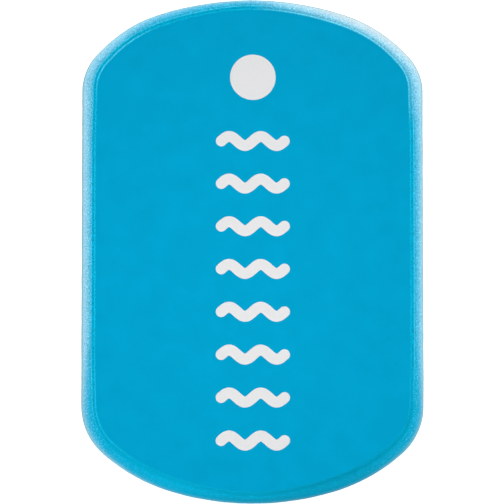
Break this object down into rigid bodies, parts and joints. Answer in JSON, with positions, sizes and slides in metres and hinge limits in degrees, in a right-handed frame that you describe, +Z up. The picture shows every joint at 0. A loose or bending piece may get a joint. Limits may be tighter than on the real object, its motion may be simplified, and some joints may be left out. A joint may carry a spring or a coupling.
{
  "type": "kickboard float",
  "caption": "Flat laminated foam swimming float with a rounded edge, arched ends and a printed face, held out in front by a swimmer.",
  "frame": {"origin": "middle of the back face, on the surface that the board lies on", "axes": "+X to the right across the board, +Y along it to the head end with the tighter corners, +Z up out of the printed face"},
  "size_m": [0.24, 0.355, 0.03],
  "materials": {
    "foam_skin": "smooth matt skin of closed-cell EVA foam, light blue",
    "cut_foam": "ground EVA foam with fine open cells, light blue",
    "adhesive": "thin clear adhesive",
    "print_ink": "flat white screen print"
  },
  "bodies": {
    "root": {"front_face_sheet": "foam_skin", "back_face_sheet": "foam_skin", "foam_core": "cut_foam", "front_bond_film": "adhesive", "back_bond_film": "adhesive", "print_disc": "print_ink", "print_wave_1": "print_ink", "print_wave_2": "print_ink", "print_wave_3": "print_ink", "print_wave_4": "print_ink", "print_wave_5": "print_ink", "print_wave_6": "print_ink", "print_wave_7": "print_ink", "print_wave_8": "print_ink"}
  },
  "joints": []
}
